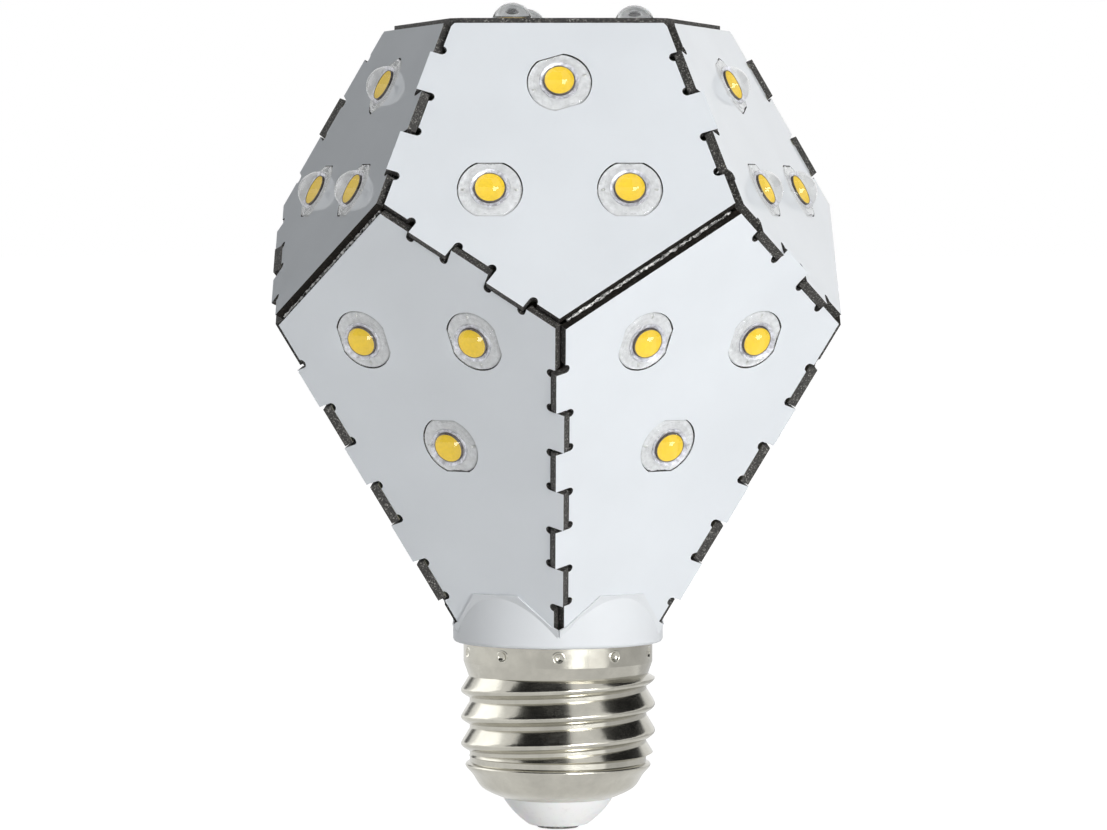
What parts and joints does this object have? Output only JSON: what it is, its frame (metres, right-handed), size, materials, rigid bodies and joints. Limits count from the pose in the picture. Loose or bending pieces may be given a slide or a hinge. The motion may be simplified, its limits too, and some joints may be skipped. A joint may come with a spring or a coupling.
{
  "type": "led bulb",
  "caption": "Lamp bulb folded from jointed white circuit boards with clear domed light emitters, on a white collar and a metal screw cap.",
  "frame": {"origin": "middle of the centre contact's lower face, on the lamp's long axis", "axes": "+Z along the lamp's axis from the screw cap to the top board; -Y towards the front upper board"},
  "size_m": [0.0758, 0.0788, 0.1111],
  "materials": {
    "board_mask": "satin white solder mask on a printed circuit board",
    "emitter_case": "satin moulded case",
    "lens_clear": "clear silicone dome",
    "phosphor_yellow": "matt phosphor",
    "solder_metal": "tinned, satin",
    "collar_white": "satin moulded plastic",
    "shell_nickel": "nickel plated, smooth",
    "insulator_white": "satin",
    "contact_metal": "plated, smooth",
    "driver_green": "satin solder mask",
    "chip_black": "matt moulding",
    "capacitor_sleeve": "glossy sleeve",
    "inductor_wrap": "matt sleeve over ferrite",
    "fuse_body": "satin lacquer",
    "lead_red": "wire sleeve",
    "lead_black": "wire sleeve",
    "lead_white": "wire sleeve"
  },
  "bodies": {
    "root": {"centre_contact": "contact_metal", "collar": "collar_white", "driver_board": "driver_green", "driver_chip": "chip_black", "emitter_bodies_lower_1": "emitter_case", "emitter_bodies_lower_2": "emitter_case", "emitter_bodies_lower_3": "emitter_case", "emitter_bodies_lower_4": "emitter_case", "emitter_bodies_lower_5": "emitter_case", "emitter_bodies_top": "emitter_case", "emitter_bodies_upper_1": "emitter_case", "emitter_bodies_upper_2": "emitter_case", "emitter_bodies_upper_3": "emitter_case", "emitter_bodies_upper_4": "emitter_case", "emitter_bodies_upper_5": "emitter_case", "emitter_contacts_lower": "solder_metal", "emitter_contacts_top": "solder_metal", "emitter_contacts_upper": "solder_metal", "filter_capacitor": "capacitor_sleeve", "fold_strip_1": "solder_metal", "fold_strip_2": "solder_metal", "fold_strip_3": "solder_metal", "fold_strip_4": "solder_metal", "fold_strip_5": "solder_metal", "fuse_resistor": "fuse_body", "inductor": "inductor_wrap", "insulator": "insulator_white", "lenses_lower_1": "lens_clear", "lenses_lower_2": "lens_clear", "lenses_lower_3": "lens_clear", "lenses_lower_4": "lens_clear", "lenses_lower_5": "lens_clear", "lenses_top": "lens_clear", "lenses_upper_1": "lens_clear", "lenses_upper_2": "lens_clear", "lenses_upper_3": "lens_clear", "lenses_upper_4": "lens_clear", "lenses_upper_5": "lens_clear", "live_lead": "lead_black", "lower_board_1": "board_mask", "lower_board_2": "board_mask", "lower_board_3": "board_mask", "lower_board_4": "board_mask", "lower_board_5": "board_mask", "negative_lead": "lead_black", "neutral_lead": "lead_white", "phosphors_lower": "phosphor_yellow", "phosphors_top": "phosphor_yellow", "phosphors_upper": "phosphor_yellow", "positive_lead": "lead_red", "rectifier": "chip_black", "screw_shell": "shell_nickel", "top_board": "board_mask", "upper_board_1": "board_mask", "upper_board_2": "board_mask", "upper_board_3": "board_mask", "upper_board_4": "board_mask", "upper_board_5": "board_mask"}
  },
  "joints": []
}
